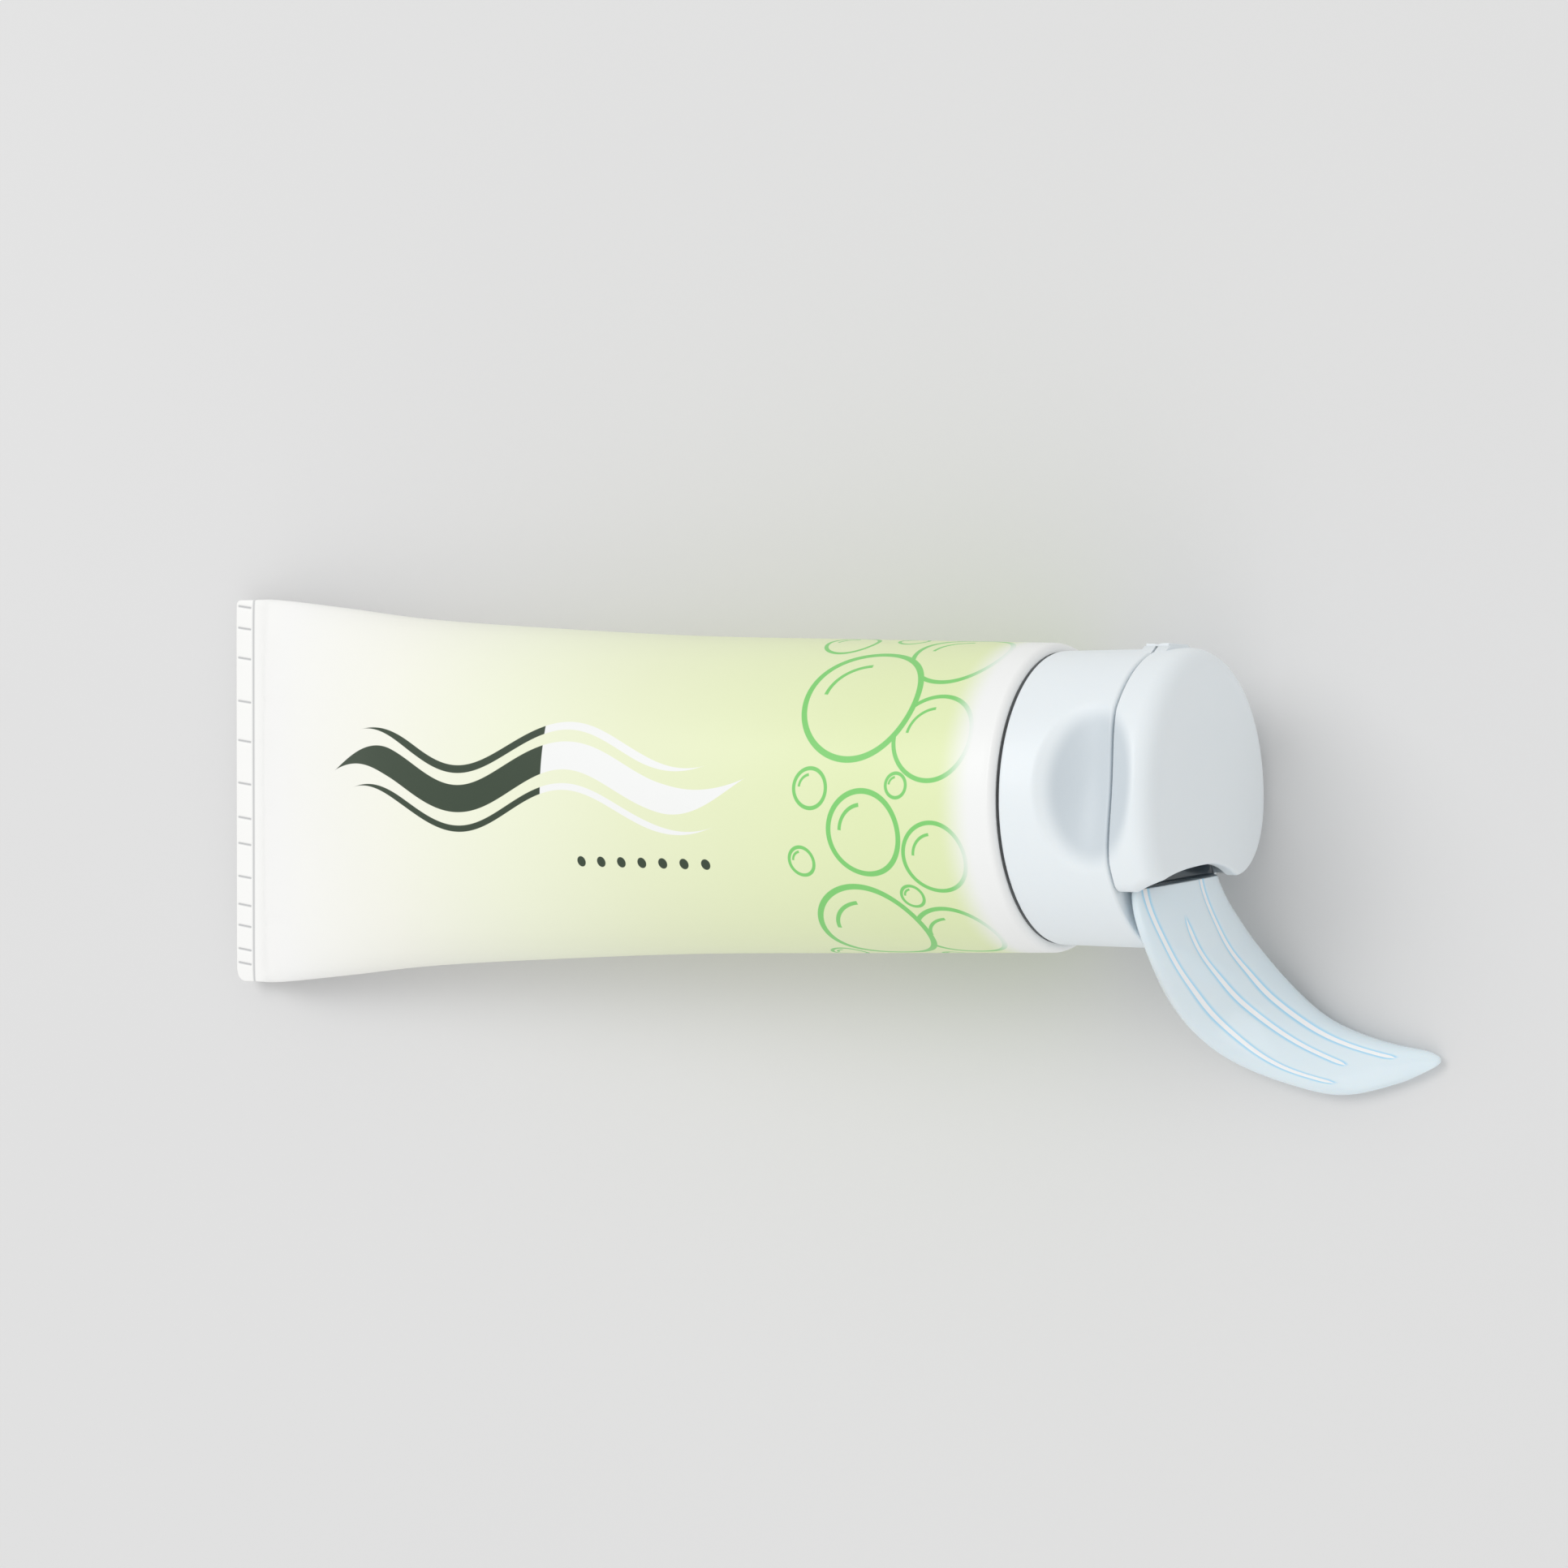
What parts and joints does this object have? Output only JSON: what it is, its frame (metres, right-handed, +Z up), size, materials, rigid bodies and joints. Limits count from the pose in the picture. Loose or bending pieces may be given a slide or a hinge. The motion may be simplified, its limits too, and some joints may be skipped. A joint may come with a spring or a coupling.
{
  "type": "toothpaste tube",
  "caption": "Squeezed toothpaste tube lying on its back: crimped flat tail, round shoulder, hinged side-dispensing cap, and a striped ribbon of paste curling out onto the surface.",
  "frame": {"origin": "on the surface that the tube rests on, under the middle of the sleeve", "axes": "+X runs along the tube from the crimped tail to the cap, +Z is up, and the lid's hinge is on the +Y side"},
  "size_m": [0.1958, 0.067, 0.0384],
  "materials": {
    "laminate": "satin printed laminate, white fading to pale lime",
    "shoulder_plastic": "natural moulded polyethylene",
    "cap_plastic": "satin moulded polypropylene, cool white",
    "paste": "wet, pale blue with white stripes"
  },
  "bodies": {
    "tube": {"tube_sleeve": "laminate", "shoulder_neck": "shoulder_plastic", "cap_base": "cap_plastic", "toothpaste": "paste"},
    "lid": {"cap_lid": "cap_plastic"}
  },
  "joints": [
    {"name": "lid_hinge", "type": "hinge", "parent": "tube", "child": "lid", "pos_m": [0.09058, 0.0186, 0.01925], "axis": [0, 0, 1], "range_deg": [0, 130]}
  ]
}
